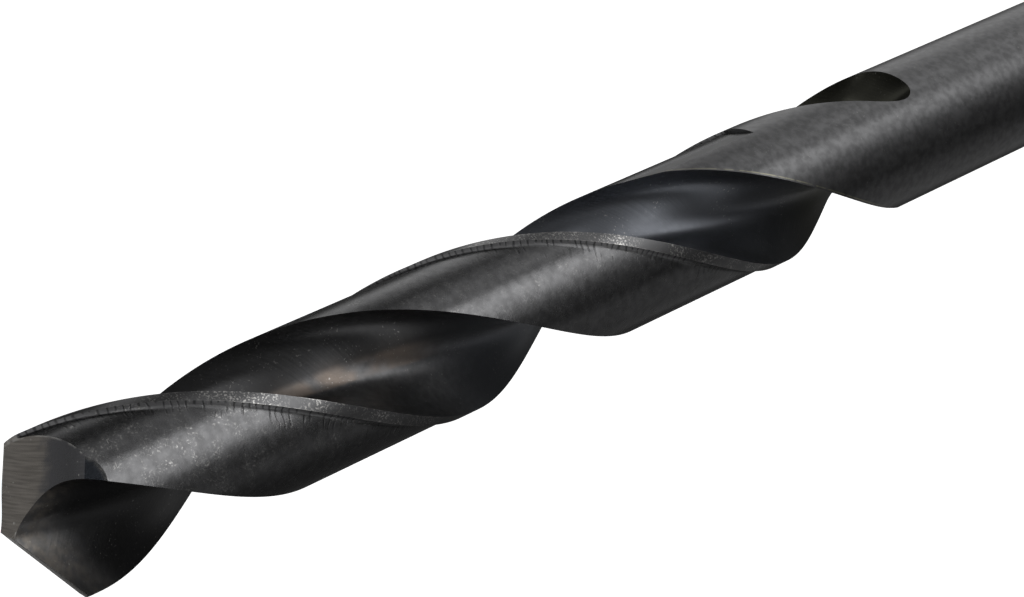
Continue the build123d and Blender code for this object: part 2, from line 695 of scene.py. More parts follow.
@dataclass(frozen=True)
class LandFinish(SteelFinish):
    """Margins, shank and unrelieved lands, worn bright along their edges."""

    roughness: float = 0.31
    mottle: float = 0.2
    grain: float = 0.0025
    fluted_rise: float = 2.0
    margin_share: float = 1.05
    margin_blur: float = 0.6
    straw: Colour = (0.42, 0.4, 0.27)
    straw_share: float = 0.35
    straw_line: Span = (0.9, 0.2)
    straw_rise: float = 6.0
    straw_patches: Patches = Patches(0.8, 0.3, 0.5)
    skin_worn: float = 0.4
    margin_worn: float = 0.65
    margin_side: Span = (0.4, -0.2)
    speckles: Patches = Patches(0.16, 0.52, 0.66)
    speckle_clusters: Patches = Patches(3.0, 0.36, 0.6)
    edge_worn: float = 0.3
    trailing_line: Span = (0.7, 0.1)
    trailing_patches: Patches = Patches(0.3, 0.35, 0.6)
    leading_line: Span = (0.8, 0.1)
    leading_patches: Patches = Patches(1.2, 0.45, 0.6)

    def fluted(self, spot: Whereabouts) -> Value:
        """1 on the part of the body that has margins and 0 towards the shank."""
        return spot.level.smooth(spot.sizes.shoulder_level, spot.sizes.shoulder_level + self.fluted_rise)

    def tone(self, spot: Whereabouts) -> bpy.types.NodeSocket:
        """Colour of the skin: lighter on the margins, straw-coloured at the heel.

        Args:
            spot: Where the point lies.

        Returns:
            The colour.
        """
        edge = spot.sizes.margin_angle
        margin = spot.behind.smooth(edge + self.margin_blur, edge) * self.fluted(spot)
        skin = spot.maker.mix(super().tone(spot), shaded(self.colour, self.margin_share), margin)
        start = spot.sizes.runout_start
        heel = (spot.heel - spot.behind).math("ABSOLUTE").smooth(*self.straw_line)
        heel = heel * spot.level.smooth(start, start + self.straw_rise) * spot.patches(self.straw_patches)
        return spot.maker.mix(skin, self.straw, heel * self.straw_share)

    def wear(self, spot: Whereabouts) -> Value:
        """Bright steel: speckles on the margins and thin lines along their edges.

        Args:
            spot: Where the point lies.

        Returns:
            0 to 1.
        """
        edge = spot.sizes.margin_angle
        outer, inner = (edge + side for side in self.margin_side)
        fluted = self.fluted(spot)
        speckle = spot.patches(self.speckles) * spot.patches(self.speckle_clusters)
        margin = spot.behind.smooth(outer, inner) * fluted
        trailing = (spot.behind - edge).math("ABSOLUTE").smooth(*self.trailing_line) * fluted
        leading = spot.behind.smooth(*self.leading_line) * spot.patches(self.leading_patches) * fluted
        edges = trailing * spot.patches(self.trailing_patches) + leading
        worn = super().wear(spot) * self.skin_worn + speckle * margin * self.margin_worn
        return (worn + edges * self.edge_worn).clamp()


@dataclass(frozen=True)
class ReliefFinish(SteelFinish):
    """Ground relief of a land: chatter beside the margin, flecks and short scratches."""

    grain: float = 0.004
    wave: float = 0.005
    foot_angles: Span = (4.5, 1.0)
    foot_rise: Span = (0.3, 0.1)
    foot_roughness: float = 0.24
    foot_painted_light_share: float = 1.35
    # painted shade in the chatter's grooves: how much darker they are and how fully
    groove_shade_share: float = 0.35
    groove_shade_cover: float = 0.85
    chatter_pitch: float = 0.62
    chatter_depth: float = 0.014
    chatter_slant: float = 0.0355
    chatter_drift: Sway = Sway(1.6, 1.4, COARSE)
    chatter_crest: Span = (0.35, 1.0)
    chatter_reach: float = 70.0
    reach_size: float = 1.1
    reach_floor: float = 0.36
    flecks: Patches = Patches(0.2, 0.54, 0.72, FINE)
    clusters: Patches = Patches(1.5, 0.42, 0.66, FINE)
    scratch_ways: tuple[Span, ...] = ((1.0, 0.25), (-0.35, 1.0), (0.6, -0.9), (1.0, 1.1))
    scratch_width: float = 0.09
    scratch_length: float = 0.8
    scratch_edge: Span = (0.66, 0.78)
    mark_share: float = 0.9
    tip_reach: Span = (50.0, 2.0)
    tip_share: float = 0.7

    def foot(self, spot: Whereabouts) -> Value:
        """Steep foot of the margin and of the shoulder, rougher, and painted lighter in colour: painted
        light that offsets the shade on its steep slopes.

        Args:
            spot: Where the point lies.

        Returns:
            0 to 1.
        """
        near = spot.behind.smooth(*(spot.sizes.margin_angle + angle for angle in self.foot_angles))
        step = spot.level.smooth(*(spot.sizes.shoulder_level + rise for rise in self.foot_rise))
        return (near + step).clamp()

    def gloss(self, spot: Whereabouts, wear: Value) -> Value:
        """Roughness, higher at the foot of the margin."""
        return super().gloss(spot, wear) + self.foot(spot) * self.foot_roughness

    def chatter(self, spot: Whereabouts) -> Value:
        """Grooves beside the margin, 1 at their bottom.

        Args:
            spot: Where the point lies.

        Returns:
            0 to 1.
        """
        sizes = spot.sizes
        rise = 1 + self.chatter_slant * 360 / sizes.helix_lead
        phase = spot.level * rise - spot.behind * self.chatter_slant
        turns = phase / self.chatter_pitch + spot.sway(self.chatter_drift)
        wave = (turns * (2 * math.pi)).math("SINE").smooth(*self.chatter_crest)
        reach = (spot.noise(self.reach_size, COARSE) - self.reach_floor) * self.chatter_reach
        past = (spot.behind - sizes.margin_angle) / reach.math("MAXIMUM", 1.0)
        return wave * (1 - past.math("MAXIMUM", 0.0).math("MINIMUM", 1.0))

    def tone(self, spot: Whereabouts) -> bpy.types.NodeSocket:
        """Colour of the skin, with painted light at the steep foot and painted shade in the chatter's
        grooves.

        Args:
            spot: Where the point lies.

        Returns:
            The colour.
        """
        groove_shade, foot = (shaded(self.colour, share) for share in (self.groove_shade_share, self.foot_painted_light_share))
        # painted light: the steep foot of the margin and the shoulder's step made lighter, against the
        # shade they get
        skin = spot.maker.mix(super().tone(spot), foot, self.foot(spot))
        # painted shade: the chatter's grooves darkened on top of their bump
        return spot.maker.mix(skin, groove_shade, self.chatter(spot) * self.groove_shade_cover)

    def wear(self, spot: Whereabouts) -> Value:
        """Bright steel: flecks and scratches in clusters, more of them near the point.

        Args:
            spot: Where the point lies.

        Returns:
            0 to 1.
        """
        arc = spot.behind * (math.radians(1) * spot.sizes.radius)
        near_tip = spot.below.smooth(*self.tip_reach) * self.tip_share + (1 - self.tip_share)
        total = spot.patches(self.flecks) * self.mark_share
        for turn, rise in self.scratch_ways:
            along = arc * turn + spot.level * rise
            across = arc * rise - spot.level * turn
            marks = spot.streaks(along, across, self.scratch_width, self.scratch_length, COARSE)
            total = total + marks.smooth(*self.scratch_edge) * self.mark_share
        return (total * spot.patches(self.clusters) * near_tip * self.fleck_share).clamp()

    def height(self, spot: Whereabouts) -> Value:
        """Height of the fine relief with the chatter's grooves."""
        return super().height(spot) - self.chatter(spot) * self.chatter_depth


@dataclass(frozen=True)
class FluteFinish(SteelFinish):
    """Flutes: painted shade darkens them near the point and along the heel wall; fine grinding lines and
    heat tints.

    Depths are measured down from the lips' cone or their corners, and bearings behind a margin's edge.
    """

    roughness: float = 0.37
    line_pitch: float = 0.3
    line_length: float = 7.0
    line_depth: float = 0.009
    line_bearing: float = 45.0
    line_bulge: float = -1.33
    line_slope: float = 1.2
    tint_patches: Patches = Patches(3.5, 0.25, 0.5)
    # bronze heat tint, lighter than the skin: partly a real tint, partly a painted highlight
    bronze_and_highlight: Colour = (0.17, 0.138, 0.115)
    bronze_highlight_cover: float = 0.8
    bronze_highlight_depth: Band = (25.0, 33.0, 6.0)
    bronze_highlight_bearing: Band = (95.0, 145.0, 14.0)
    # painted shade: a darker copy of the skin colour, laid where shade falls in the flute
    painted_shade_share: float = 0.45
    painted_shade_start: Span = (2.0, 5.0)
    painted_shade_end: Span = (20.0, 10.0)
    painted_shade_bearing: Span = (101.0, 90.0)
    painted_shade_cover: float = 0.85
    rubbed: Colour = (0.21, 0.185, 0.155)
    rubbed_cover: float = 0.6
    rubbed_depth: Span = (4.0, 0.8)
    rubbed_patches: Patches = Patches(0.6, 0.2, 0.8, FINE)
    blue: Colour = (0.102, 0.108, 0.121)
    blue_cover: float = 0.9
    blue_depth: Span = (34.0, 44.0)
    green: Colour = (0.07, 0.07, 0.058)
    green_rise: Span = (14.0, 4.0)

    def lines(self, spot: Whereabouts) -> Value:
        """Grinding lines that cross the flute at a shallow angle.

        Args:
            spot: Where the point lies.

        Returns:
            The lines, about 0.5.
        """
        turn = (spot.inside + self.line_bearing) * math.radians(1)
        bulge = spot.radius * turn.math("COSINE") * self.line_bulge
        across = spot.level - bulge * self.line_slope
        return spot.streaks(spot.level + bulge, across, self.line_pitch, self.line_length, EVEN)

    def tone(self, spot: Whereabouts) -> bpy.types.NodeSocket:
        """Colour of the skin, tinted bronze towards the point and blue further back, with painted shade
        near the point and on the heel wall; the bronze is also partly a painted highlight, lighter where
        the flute's highlight falls.

        Args:
            spot: Where the point lies.

        Returns:
            The colour.
        """
        sizes = spot.sizes
        depth = spot.radius * -sizes.lip_fall + sizes.radius * sizes.lip_fall + spot.below
        patches = spot.patches(self.tint_patches)
        # bronze tint laid where the flute's highlight falls and lighter than the skin: partly real tint,
        # partly painted highlight
        bronze_and_highlight = spot.below.within(*self.bronze_highlight_depth) * spot.inside.within(*self.bronze_highlight_bearing) * patches
        painted_shade = shaded(self.colour, self.painted_shade_share)
        rubbed = depth.smooth(*self.rubbed_depth) * patches * spot.patches(self.rubbed_patches)
        tints = (
            (self.bronze_and_highlight, bronze_and_highlight * self.bronze_highlight_cover),
            # painted shade: the flute darkened some millimetres down from the lips and on its heel wall,
            # standing in for shade there
            (painted_shade, depth.smooth(*self.painted_shade_start) * depth.smooth(*self.painted_shade_end)),
            (painted_shade, spot.inside.smooth(*self.painted_shade_bearing) * self.painted_shade_cover),
            (self.rubbed, rubbed * self.rubbed_cover),
            (self.blue, spot.below.smooth(*self.blue_depth) * self.blue_cover),
            (self.green, spot.level.smooth(*(sizes.runout_start + rise for rise in self.green_rise))),
        )
        skin = super().tone(spot)
        for tint, cover in tints:
            skin = spot.maker.mix(skin, tint, cover)
        return skin

    def height(self, spot: Whereabouts) -> Value:
        """Height of the fine relief with the grinding lines."""
        return super().height(spot) + self.lines(spot) * self.line_depth


@dataclass(frozen=True)
class FlankFinish(SteelFinish):
    """Flanks of the point: ground lines that cross the lips, and a darker heel facet."""

    colour: Colour = (0.2, 0.185, 0.168)
    middle: Colour = (0.1, 0.1, 0.105)
    facet: Colour = (0.092, 0.102, 0.12)
    line_shares: Span = (0.72, 1.25)
    line_edge: Span = (0.25, 0.75)
    line_width: float = 0.14
    line_length: float = 3.0
    line_turn: float = 23.0
    line_depth: float = 0.006
    middle_setback: float = 3.9
    middle_blur: Span = (-0.7, 0.5)
    middle_sway: Sway = Sway(0.8, 1.6)
    facet_blur: float = 0.05
    ragged: Patches = Patches(0.5, 0.35, 0.6)
    lip_line: Span = (0.16, 0.04)
    lip_worn: float = 0.8
    rim_line: Span = (-0.14, -0.02)
    rim_worn: float = 0.5
    nicks: Patches = Patches(0.3, 0.7, 0.76, COARSE)
    nick_clusters: Patches = Patches(2.5, 0.5, 0.6)
    nick_worn: float = 0.8

    def _placing(self, spot: Whereabouts) -> tuple[Value, Value]:
        """Distance along the lip and behind it.

        Args:
            spot: Where the point lies.

        Returns:
            Both in millimetres.
        """
        turn = math.radians(spot.sizes.lip_turn)
        along = spot.x * math.cos(turn) - spot.y * math.sin(turn)
        beside = spot.x * math.sin(turn) + spot.y * math.cos(turn)
        return along, spot.sizes.web_thickness / 2 - beside * along.math("SIGN")

    def _lines(self, spot: Whereabouts) -> Value:
        """Lines that the grinding wheel left.

        Args:
            spot: Where the point lies.

        Returns:
            The lines, about 0.5.
        """
        turn = math.radians(self.line_turn)
        along, setback = self._placing(spot)
        across = along * math.cos(turn) + setback * math.sin(turn)
        run = setback * math.cos(turn) - along * math.sin(turn)
        return spot.streaks(run, across, self.line_width, self.line_length, FINE)

    def tone(self, spot: Whereabouts) -> bpy.types.NodeSocket:
        """Colour of the ground steel by its distance behind the lip.

        Args:
            spot: Where the point lies.

        Returns:
            The colour.
        """
        _, setback = self._placing(spot)
        dark, light = (shaded(self.colour, share) for share in self.line_shares)
        ground = spot.maker.mix(dark, light, self._lines(spot).smooth(*self.line_edge))
        start, whole = (self.middle_setback + blur for blur in self.middle_blur)
        middle = (setback + spot.sway(self.middle_sway)).smooth(start, whole)
        limit = spot.sizes.heel_facet_setback
        facet = setback.smooth(limit - self.facet_blur, limit + self.facet_blur)
        return spot.maker.mix(spot.maker.mix(ground, self.middle, middle), self.facet, facet)

    def wear(self, spot: Whereabouts) -> Value:
        """Bright steel: a line along the lip, the rim at the lands, and a few nicks.

        Args:
            spot: Where the point lies.

        Returns:
            0 to 1.
        """
        _, setback = self._placing(spot)
        rim_radius = spot.sizes.relieved_radius(spot.sizes.corner_level)
        ragged = spot.patches(self.ragged)
        lip = setback.smooth(*self.lip_line) * ragged
        rim = (spot.radius - rim_radius).smooth(*self.rim_line) * ragged
        nicks = spot.patches(self.nicks) * spot.patches(self.nick_clusters)
        return (lip * self.lip_worn + rim * self.rim_worn + nicks * self.nick_worn).clamp()

    def height(self, spot: Whereabouts) -> Value:
        """Height of the ground lines."""
        return super().height(spot) + self._lines(spot) * self.line_depth


# Body


class TwistTree:
    """Geometry tree that twists a cutter's outline up the bit and lifts it out of the bar at its end."""

    def __init__(self) -> None:
        """Builds the tree with its named inputs."""
        self.tree = bpy.data.node_groups.new("twisted_cutter", "GeometryNodeTree")
        face = self.tree.interface
        face.new_socket(name="Section", in_out="INPUT", socket_type="NodeSocketObject")
        levels = ("Top Level", "Tip Level", "End Level", "Far Level")
        for name in ("Lead", *levels, "Scoop Radius", "Lift Bearing"):
            face.new_socket(name=name, in_out="INPUT", socket_type="NodeSocketFloat")
        for name in ("Levels", "Scoop Levels"):
            face.new_socket(name=name, in_out="INPUT", socket_type="NodeSocketInt")
        face.new_socket(name="Finish", in_out="INPUT", socket_type="NodeSocketMaterial")
        face.new_socket(name="Cutter", in_out="OUTPUT", socket_type="NodeSocketGeometry")
        self._fill(NodeMaker(self.tree))

    def _fill(self, maker: NodeMaker) -> None:
        """Adds the tree's nodes.

        Args:
            maker: Adds nodes to the tree.
        """
        entry = maker.node("NodeGroupInput")
        given = {socket.name: Value(maker, socket) for socket in entry.outputs if socket.name}
        section = maker.value("GeometryNodeObjectInfo", {}, {"Object": given["Section"]}, "Geometry")
        profile = maker.value("GeometryNodeMeshToCurve", {}, {"Mesh": section})
        line = maker.value("GeometryNodeCurvePrimitiveLine", {}, {"End": (0.0, 0.0, -1.0)})
        count = given["Levels"] + given["Scoop Levels"] + 1
        rail = maker.value("GeometryNodeResampleCurve", {}, {"Curve": line, "Count": count})
        index = maker.value("GeometryNodeInputIndex")
        kind = {"data_type": "FLOAT", "domain": "POINT"}
        station = {"Geometry": rail, "Name": "station", "Value": index}
        numbered = maker.value("GeometryNodeStoreNamedAttribute", kind, station)
        sweep = {"Curve": numbered, "Profile Curve": profile, "Fill Caps": True}
        tube = maker.value("GeometryNodeCurveToMesh", {}, sweep)
        position = self._position(maker, given)
        placed = maker.value("GeometryNodeSetPosition", {}, {"Geometry": tube, "Position": position})
        finish = {"Geometry": placed, "Material": given["Finish"]}
        dressed = maker.value("GeometryNodeSetMaterial", {}, finish)
        maker.node("NodeGroupOutput", {}, {"Cutter": dressed})

    def _position(self, maker: NodeMaker, given: dict[str, Value]) -> Value:
        """Place of each point of the cutter.

        Args:
            maker: Adds nodes to the tree.
            given: The tree's inputs by name.

        Returns:
            The position.
        """
        station = self._attribute(maker, "station", "FLOAT")
        tip = self._polar(maker, "tip_polar")
        end = self._polar(maker, "end_polar")
        rise = (station / given["Levels"]).math("MINIMUM", 1.0)
        past = ((station - given["Levels"]).math("MAXIMUM", 0.0)) / given["Scoop Levels"]
        turn = past * (math.pi / 2)
        level = given["Top Level"] - (given["Top Level"] - given["End Level"]) * rise
        level = level - given["Scoop Radius"] * turn.math("SINE")
        lift = given["Scoop Radius"] * (1 - turn.math("COSINE"))
        share = (given["Tip Level"] - level) / (given["Tip Level"] - given["Far Level"])
        radius = tip[0] + (end[0] - tip[0]) * share
        twist = (level - given["Tip Level"]) / given["Lead"] * (2 * math.pi)
        bearing = tip[1] + (end[1] - tip[1]) * share + twist
        lift_bearing = given["Lift Bearing"] + twist
        x = radius * bearing.math("COSINE") + lift * lift_bearing.math("COSINE")
        y = radius * bearing.math("SINE") + lift * lift_bearing.math("SINE")
        return maker.value("ShaderNodeCombineXYZ", {}, {"X": x, "Y": y, "Z": level})

    def _attribute(self, maker: NodeMaker, name: str, kind: str) -> Value:
        """Reads a named attribute of the given kind."""
        return maker.value("GeometryNodeInputNamedAttribute", {"data_type": kind}, {"Name": name})

    def _polar(self, maker: NodeMaker, name: str) -> tuple[Value, Value]:
        """Distance from the axis and bearing that an attribute holds.

        Args:
            maker: Adds nodes to the tree.
            name: Attribute's name.

        Returns:
            Distance and bearing.
        """
        polar = self._attribute(maker, name, "FLOAT_VECTOR")
        parts = maker.node("ShaderNodeSeparateXYZ", {}, {"Vector": polar})
        return Value(maker, parts.outputs["X"]), Value(maker, parts.outputs["Y"])


@dataclass
class DrillBody:
    """The bit's one piece of steel: a turned bar with two flutes, relieved lands and a ground point.

    Steps and margins are in millimetres and angles in degrees, and the cutters' reaches are in diameters.
    """

    sizes: DrillSizes
    turns: int = 360
    bar_step: float = 4.0
    corner_steps: int = 8
    flank_steps: int = 24
    level_step: float = 0.32
    relief_step: float = 0.6
    scoop_levels: int = 30
    crease_angle: float = 14.0
    top_margin: float = 1.2
    flank_reach: float = 1.5
    stop_reach: float = 6.0

    def build(self, finishes: dict[Finish, bpy.types.Material]) -> bpy.types.Object:
        """Builds the body as a plain mesh.

        Args:
            finishes: Material of each finish.

        Returns:
            The body's object, at the origin.
        """
        helpers = [
            FluteSection(self.sizes).ring("flute_section"),
            ReliefSection(self.sizes).ring("relief_section"),
            self._flank_cutter(finishes[Finish.FLANK]),
        ]
        blank = self._blank(finishes[Finish.LAND])
        tree = self._cutting_tree()
        modifier = blank.modifiers.new("cut", "NODES")
        modifier.node_group = tree
        given = {
            "Flute Section": helpers[0],
            "Relief Section": helpers[1],
            "Flank Cutter": helpers[2],
            "Flute Finish": finishes[Finish.FLUTE],
            "Relief Finish": finishes[Finish.RELIEF],
            "Land Finish": finishes[Finish.LAND],
        }
        for item in tree.interface.items_tree:
            if item.item_type == "SOCKET" and item.name in given:
                modifier[item.identifier] = given[item.name]
        blank.update_tag()
        bpy.context.view_layer.update()
        evaluated = blank.evaluated_get(bpy.context.evaluated_depsgraph_get())
        mesh = bpy.data.meshes.new_from_object(evaluated)
        blank.modifiers.remove(modifier)
        body = add_object("drill_bit_steel", mesh)
        for used in (*helpers, blank):
            bpy.data.objects.remove(used)
        return body

    def _bar_outline(self) -> list[tuple[float, float]]:
        """Outline of the turned bar, with a chamfered shank end and corners worn round at the lips.

        Returns:
            Radius and height of each point, from the middle of the shank end up to the middle of the top.
        """
        sizes = self.sizes
        wear = sizes.corner_wear
        half = math.radians(sizes.point_angle / 2)
        shoulder = sizes.corner_level - wear
        round_radius = wear / math.tan((math.pi / 2 - half) / 2)
        outline = [(0.0, 0.0), (sizes.shank_radius - sizes.shank_chamfer, 0.0)]
        outline.append((sizes.shank_radius, sizes.shank_chamfer))
        outline.append((sizes.shank_radius, sizes.runout_end))
        step = self.bar_step
        for level in np.arange(sizes.runout_end + step, shoulder - step / 2, step):
            outline.append((sizes.body_radius(level), level))
        edge = sizes.body_radius(shoulder)
        for turn in np.linspace(0, math.pi / 2 - half, self.corner_steps):
            inset = round_radius * (1 - math.cos(turn))
            outline.append((edge - inset, shoulder + round_radius * math.sin(turn)))
        top = sizes.overall_length + self.top_margin
        return [*outline, (outline[-1][0], top), (0.0, top)]

    def _blank(self, finish: bpy.types.Material) -> bpy.types.Object:
        """Turned bar that the flutes, reliefs and flanks are cut from.

        Args:
            finish: Material of the bar.

        Returns:
            The bar's object.
        """
        shape = bmesh.new()
        rings = []
        for radius, level in self._bar_outline():
            count = self.turns if radius else 1
            angles = [2 * math.pi * k / count for k in range(count)]
            ring = [(radius * MM * math.cos(turn), radius * MM * math.sin(turn)) for turn in angles]
            rings.append([shape.verts.new((x, y, level * MM)) for x, y in ring])
        for low, high in zip(rings, rings[1:]):
            for k in range(self.turns):
                after = k + 1
                pairs = ((low, k), (low, after), (high, after), (high, k))
                shape.faces.new(list(dict.fromkeys(ring[place % len(ring)] for ring, place in pairs)))
        mesh = bpy.data.meshes.new("bar")
        shape.to_mesh(mesh)
        shape.free()
        mesh.materials.append(finish)
        return add_object("bar", mesh)

    def _flank_cutter(self, finish: bpy.types.Material) -> bpy.types.Object:
        """All that lies above flank 1: its section behind the lip, drawn out along the lip.

        Args:
            finish: Material of the ground flank.

        Returns:
            The cutter's object.
        """
        sizes = self.sizes
        reach = self.flank_reach * sizes.diameter
        setbacks = np.linspace(0, sizes.heel_facet_setback, self.flank_steps)
        section = [(-reach, -reach * math.tan(math.radians(sizes.lip_relief)))]
        section += [(s, sizes.flank_fall(s)) for s in setbacks]
        drop = reach * math.tan(math.radians(sizes.heel_facet_angle))
        section.append((sizes.heel_facet_setback + reach, section[-1][1] + drop))
        section += [(section[-1][0], -2 * reach), (-reach, -2 * reach)]
        slope = Vector((1, 0, -sizes.lip_fall)).normalized()
        turn = Matrix.Rotation(math.radians(-sizes.lip_turn), 4, "Z")
        ends = []
        for way in (-reach, reach):
            for setback, fall in section:
                level = sizes.corner_level + sizes.lip_rise - fall
                place = Vector((0, sizes.web_thickness / 2 - setback, level))
                ends.append(turn @ ((place + slope * way) * MM))
        count = len(section)
        faces = [tuple(range(count)), tuple(reversed(range(count, 2 * count)))]
        for k in range(count):
            after = (k + 1) % count
            faces.append((after, k, k + count, after + count))
        mesh = bpy.data.meshes.new("flank_cutter")
        mesh.from_pydata(ends, [], faces)
        shape = bmesh.new()
        shape.from_mesh(mesh)
        bmesh.ops.recalc_face_normals(shape, faces=shape.faces)
        shape.to_mesh(mesh)
        shape.free()
        mesh.materials.append(finish)
        return add_object("flank_cutter", mesh)

    def _cutting_tree(self) -> bpy.types.NodeTree:
        """Geometry tree that cuts flutes, reliefs and flanks from the bar, each of them twice.

        Returns:
            The tree.
        """
        tree = bpy.data.node_groups.new("twist_drill", "GeometryNodeTree")
        face = tree.interface
        face.new_socket(name="Bar", in_out="INPUT", socket_type="NodeSocketGeometry")
        for name in ("Flute Section", "Relief Section", "Flank Cutter"):
            face.new_socket(name=name, in_out="INPUT", socket_type="NodeSocketObject")
        for name in ("Flute Finish", "Relief Finish", "Land Finish"):
            face.new_socket(name=name, in_out="INPUT", socket_type="NodeSocketMaterial")
        face.new_socket(name="Body", in_out="OUTPUT", socket_type="NodeSocketGeometry")
        maker = NodeMaker(tree)
        entry = maker.node("NodeGroupInput")
        given = {socket.name: Value(maker, socket) for socket in entry.outputs if socket.name}
        sizes = self.sizes
        twist = TwistTree().tree
        top = sizes.overall_length + self.top_margin / 2
        flute = self._twisted(
            maker,
            twist,
            {
                "Section": given["Flute Section"],
                "End Level": sizes.runout_start * MM,
                "Scoop Radius": sizes.runout_radius * MM,
                "Levels": round((top - sizes.runout_start) / self.level_step),
                "Scoop Levels": self.scoop_levels,
                "Finish": given["Flute Finish"],
            },
        )
        relief = self._twisted(
            maker,
            twist,
            {
                "Section": given["Relief Section"],
                "End Level": sizes.shoulder_level * MM,
                "Scoop Radius": 0.0,
                "Levels": round((top - sizes.shoulder_level) / self.relief_step),
                "Scoop Levels": 1,
                "Finish": given["Relief Finish"],
            },
        )
        relief = self._boolean(maker, relief, [self._shoulder_stop(maker)])
        flank = maker.value("GeometryNodeObjectInfo", {}, {"Object": given["Flank Cutter"]}, "Geometry")
        body = given["Bar"]
        for cutter in (flute, relief, flank):
            half_turn = {"Geometry": cutter, "Rotation": (0.0, 0.0, math.pi)}
            other = maker.value("GeometryNodeTransform", {}, half_turn)
            body = self._boolean(maker, body, [cutter, other])
        body = maker.value("GeometryNodeRealizeInstances", {}, {"Geometry": body})
        body = self._shaded(maker, body)
        none = maker.value("GeometryNodeInputMaterialIndex").math("LESS_THAN", 0.0)
        finish = {"Geometry": body, "Selection": none, "Material": given["Land Finish"]}
        body = maker.value("GeometryNodeSetMaterial", {}, finish)
        maker.node("NodeGroupOutput", {}, {"Body": body})
        return tree

    def _twisted(self, maker: NodeMaker, tree: bpy.types.NodeTree, inputs: dict) -> Value:
        """One twisted cutter.

        Args:
            maker: Adds nodes to the cutting tree.
            tree: Twisting tree.
            inputs: What differs between the cutters.

        Returns:
            The cutter's geometry.
        """
        sizes = self.sizes
        common = {
            "Lead": sizes.helix_lead * MM,
            "Top Level": (sizes.overall_length + self.top_margin / 2) * MM,
            "Tip Level": sizes.corner_level * MM,
            "Far Level": sizes.runout_start * MM,
            "Lift Bearing": math.radians(sizes.runout_bearing),
        }
        return maker.value("GeometryNodeGroup", {"node_tree": tree}, common | inputs)

    def _shoulder_stop(self, maker: NodeMaker) -> Value:
        """Block that narrows the relief to its shoulder by a flat.

        Args:
            maker: Adds nodes to the cutting tree.

        Returns:
            The block's geometry.
        """
        sizes = self.sizes
        width = self.stop_reach * sizes.diameter * MM
        size = (width, width, 2 * sizes.fade_length * MM)
        block = maker.value("GeometryNodeMeshCube", {}, {"Size": size})
        twist = 360 * (sizes.shoulder_level - sizes.corner_level) / sizes.helix_lead
        turn = math.radians(twist - sizes.shoulder_angle)
        flat = sizes.relieved_radius(sizes.runout_end) * MM
        corner = Vector((flat - width / 2, -width / 2, sizes.shoulder_level * MM))
        middle = Matrix.Rotation(turn, 4, "Z") @ corner
        inputs = {"Geometry": block, "Translation": tuple(middle), "Rotation": (0.0, 0.0, turn)}
        return maker.value("GeometryNodeTransform", {}, inputs)

    def _boolean(self, maker: NodeMaker, body: Value, cutters: list[Value]) -> Value:
        """Cuts solids from a body.

        Args:
            maker: Adds nodes to the tree.
            body: What is cut.
            cutters: What cuts it.

        Returns:
            What is left.
        """
        settings = {"operation": "DIFFERENCE", "solver": "MANIFOLD"}
        return maker.value("GeometryNodeMeshBoolean", settings, {"Mesh 1": body, "Mesh 2": cutters})

    def _shaded(self, maker: NodeMaker, body: Value) -> Value:
        """Smooth shading, apart from creases.

        Args:
            maker: Adds nodes to the tree.
            body: Geometry to shade.

        Returns:
            The shaded geometry.
        """
        smooth = maker.value("GeometryNodeSetShadeSmooth", {"domain": "FACE"}, {"Geometry": body})
        angle = maker.value("GeometryNodeInputMeshEdgeAngle", {}, {}, "Unsigned Angle")
        flat = angle.math("LESS_THAN", math.radians(self.crease_angle))
        edges = {"Geometry": smooth, "Shade Smooth": flat}
        return maker.value("GeometryNodeSetShadeSmooth", {"domain": "EDGE"}, edges)


# Stage


@dataclass(frozen=True)
class Viewpoint:
    """Camera's place and aim, in millimetres and degrees, and its clipping distances in metres."""

    place: tuple[float, float, float] = (-30.1, -187.69, 248.11)
    aim: tuple[float, float, float] = (0.594, -0.119, 99.936)
    roll: float = 114.353
    lens: float = 102.1
    nearest: float = 0.01
    farthest: float = 10.0

    def make(self) -> bpy.types.Object:
        """Makes the scene's camera.

        Returns:
            The camera.
        """
        data = bpy.data.cameras.new("camera")
        data.lens = self.lens
        data.clip_start = self.nearest
        data.clip_end = self.farthest
        camera = add_object("camera", data)
        way = Vector(self.aim) - Vector(self.place)
        level = way.to_track_quat("-Z", "Y").to_matrix().to_4x4()
        turn = Matrix.Rotation(math.radians(-self.roll), 4, "Z")
        camera.matrix_world = Matrix.Translation(Vector(self.place) * MM) @ level @ turn
        bpy.context.scene.camera = camera
        return camera


@dataclass(frozen=True)
class Softbox:
    """A soft rectangular panel of light, far from the bit, in the world's shader.

    Azimuth and elevation are degrees round the bit's axis from +X and above the floor. Half-sizes and
    the soft edge's half-width are tangents.
    """

    NEAREST = 0.001

    azimuth: float
    elevation: float
    half_width: float
    half_height: float
    turn: float
    strength: float
    edge: float = 0.12

    def glow(self, maker: NodeMaker, way: bpy.types.NodeSocket) -> Value:
        """Light that the panel sends from each direction.

        Args:
            maker: Adds nodes to the world's tree.
            way: Direction as a vector.

        Returns:
            The panel's strength, 0 outside it.
        """
        facing = Matrix.Identity(3)
        for angle, axis in ((self.azimuth, "Z"), (-self.elevation, "Y"), (self.turn, "X")):
            facing = facing @ Matrix.Rotation(math.radians(angle), 3, axis)
        product = {"operation": "DOT_PRODUCT"}
        ahead, across, upward = (
            maker.value("ShaderNodeVectorMath", product, {0: way, 1: tuple(axis)}, "Value")
            for axis in facing.transposed()
        )
        depth = ahead.math("MAXIMUM", self.NEAREST)
        breadth, height = (
            (offset / depth).math("ABSOLUTE").smooth(half + self.edge, half - self.edge)
            for offset, half in ((across, self.half_width), (upward, self.half_height))
        )
        return breadth * height * ahead.math("GREATER_THAN", 0.0) * self.strength


